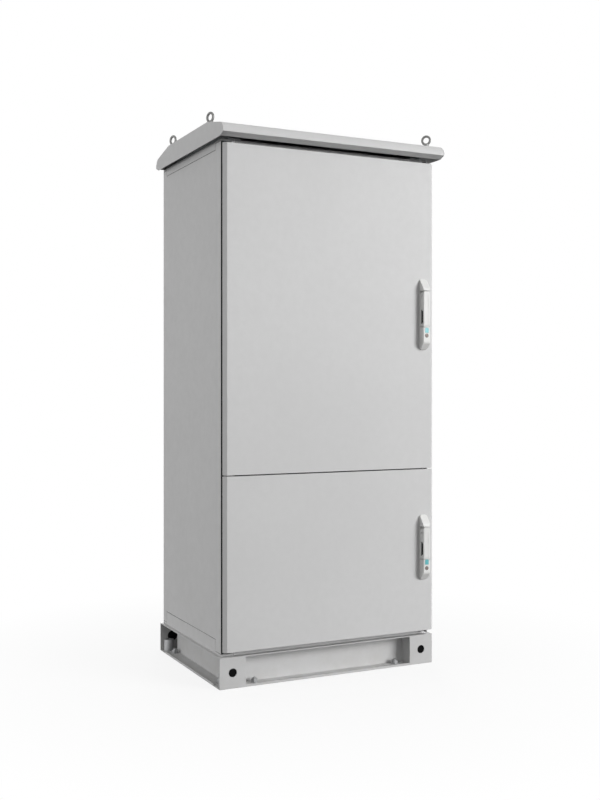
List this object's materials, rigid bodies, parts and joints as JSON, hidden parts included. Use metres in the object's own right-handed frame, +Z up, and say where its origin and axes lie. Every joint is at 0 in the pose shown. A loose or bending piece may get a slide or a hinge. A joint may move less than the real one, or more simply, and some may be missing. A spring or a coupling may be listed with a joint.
{
  "type": "utility cabinet",
  "caption": "Free-standing outdoor sheet-steel cabinet with a rain hood, lifting eyes, an upper and a lower hinged door with swing handles, and a plinth.",
  "frame": {"origin": "on the ground, in the middle of the roof's width and depth", "axes": "+X to the right seen from the front, the doors face -Y, +Z up"},
  "size_m": [0.818, 0.653, 1.8485],
  "materials": {
    "body_coat": "light grey textured powder coat",
    "plinth_coat": "light grey powder coat",
    "handle_coat": "satin off-white coat with a plain teal field on the pad",
    "eye_steel": "zinc-plated",
    "zinc_parts": "zinc-plated",
    "zinc_sheet": "galvanised sheet",
    "gasket_foam": "foamed seal",
    "rubber_black": "moulded rubber disc",
    "guide_plastic": "moulded nylon"
  },
  "bodies": {
    "base": {"plinth_front_rail": "plinth_coat", "plinth_rear_rail": "plinth_coat", "plinth_side_rail_left": "plinth_coat", "plinth_side_rail_right": "plinth_coat", "plinth_corners_front": "plinth_coat", "plinth_corners_rear": "plinth_coat", "plinth_hole_caps": "rubber_black", "plinth_anchor_sleeves": "zinc_parts", "plinth_bolts": "zinc_parts", "body_bolts": "zinc_parts", "bottom_tray": "body_coat", "gland_plate": "zinc_sheet", "side_wall_left": "body_coat", "side_wall_right": "body_coat", "rear_wall": "body_coat", "rear_wall_screws": "zinc_parts", "top_tray": "body_coat", "transom": "body_coat", "roof_hood": "body_coat", "lifting_rail_left": "zinc_sheet", "lifting_rail_right": "zinc_sheet", "eye_spacers": "eye_steel", "eye_nuts": "zinc_parts", "eyebolt_front_left": "eye_steel", "eyebolt_front_right": "eye_steel", "eyebolt_rear_left": "eye_steel", "eyebolt_rear_right": "eye_steel", "mounting_uprights": "zinc_sheet", "mounting_plate_upper": "zinc_sheet", "mounting_plate_lower": "zinc_sheet", "hinge_arms": "zinc_sheet", "hinge_pins": "zinc_parts", "rod_keepers": "zinc_sheet"},
    "upper_door": {"upper_door_pan": "body_coat", "upper_door_gasket": "gasket_foam", "upper_door_stiffeners": "body_coat", "upper_hinge_leaves": "zinc_sheet", "upper_handle_base": "handle_coat", "upper_lock_box": "zinc_sheet", "upper_rod_guides": "guide_plastic"},
    "upper_carrier": {"upper_handle_carrier": "zinc_parts", "upper_lever_pin": "zinc_parts"},
    "upper_lever": {"upper_lever": "handle_coat"},
    "upper_top_rod": {"upper_rod_top": "zinc_sheet"},
    "upper_bottom_rod": {"upper_rod_bottom": "zinc_sheet"},
    "upper_lock": {"upper_lock_plug": "zinc_parts"},
    "lower_door": {"lower_door_pan": "body_coat", "lower_door_gasket": "gasket_foam", "lower_door_stiffeners": "body_coat", "lower_hinge_leaves": "zinc_sheet", "lower_handle_base": "handle_coat", "lower_lock_box": "zinc_sheet", "lower_rod_guides": "guide_plastic"},
    "lower_carrier": {"lower_handle_carrier": "zinc_parts", "lower_lever_pin": "zinc_parts"},
    "lower_lever": {"lower_lever": "handle_coat"},
    "lower_top_rod": {"lower_rod_top": "zinc_sheet"},
    "lower_bottom_rod": {"lower_rod_bottom": "zinc_sheet"},
    "lower_lock": {"lower_lock_plug": "zinc_parts"}
  },
  "joints": [
    {"name": "upper_door_hinge", "type": "hinge", "parent": "base", "child": "upper_door", "pos_m": [-0.3725, -0.268, 1.20515], "axis": [0, 0, -1], "range_deg": [0, 120]},
    {"name": "upper_handle_swing", "type": "hinge", "parent": "upper_door", "child": "upper_carrier", "pos_m": [0.3465, -0.30295, 1.2751], "axis": [0, 1, 0], "range_deg": [0, 90]},
    {"name": "upper_lever_tilt", "type": "hinge", "parent": "upper_carrier", "child": "upper_lever", "pos_m": [0.3465, -0.30295, 1.2751], "axis": [-1, 0, 0], "range_deg": [0, 35]},
    {"name": "upper_top_rod_slide", "type": "slide", "parent": "upper_door", "child": "upper_top_rod", "axis": [0, 0, -1], "range_m": [0, 0.0161]},
    {"name": "upper_bottom_rod_slide", "type": "slide", "parent": "upper_door", "child": "upper_bottom_rod", "axis": [0, 0, 1], "range_m": [0, 0.0161]},
    {"name": "upper_lock_turn", "type": "hinge", "parent": "upper_door", "child": "upper_lock", "pos_m": [0.3465, -0.3075, 1.1349], "axis": [0, 1, 0], "range_deg": [0, 90]},
    {"name": "lower_door_hinge", "type": "hinge", "parent": "base", "child": "lower_door", "pos_m": [-0.3725, -0.268, 0.3979], "axis": [0, 0, -1], "range_deg": [0, 120]},
    {"name": "lower_handle_swing", "type": "hinge", "parent": "lower_door", "child": "lower_carrier", "pos_m": [0.3465, -0.30295, 0.4656], "axis": [0, 1, 0], "range_deg": [0, 90]},
    {"name": "lower_lever_tilt", "type": "hinge", "parent": "lower_carrier", "child": "lower_lever", "pos_m": [0.3465, -0.30295, 0.4656], "axis": [-1, 0, 0], "range_deg": [0, 35]},
    {"name": "lower_top_rod_slide", "type": "slide", "parent": "lower_door", "child": "lower_top_rod", "axis": [0, 0, -1], "range_m": [0, 0.0161]},
    {"name": "lower_bottom_rod_slide", "type": "slide", "parent": "lower_door", "child": "lower_bottom_rod", "axis": [0, 0, 1], "range_m": [0, 0.0161]},
    {"name": "lower_lock_turn", "type": "hinge", "parent": "lower_door", "child": "lower_lock", "pos_m": [0.3465, -0.3075, 0.3384], "axis": [0, 1, 0], "range_deg": [0, 90]}
  ],
  "couplings": [
    {"joint": "upper_top_rod_slide", "follows": "upper_handle_swing", "m_per_rad": 0.010186},
    {"joint": "upper_bottom_rod_slide", "follows": "upper_handle_swing", "m_per_rad": 0.010186},
    {"joint": "lower_top_rod_slide", "follows": "lower_handle_swing", "m_per_rad": 0.010186},
    {"joint": "lower_bottom_rod_slide", "follows": "lower_handle_swing", "m_per_rad": 0.010186}
  ]
}
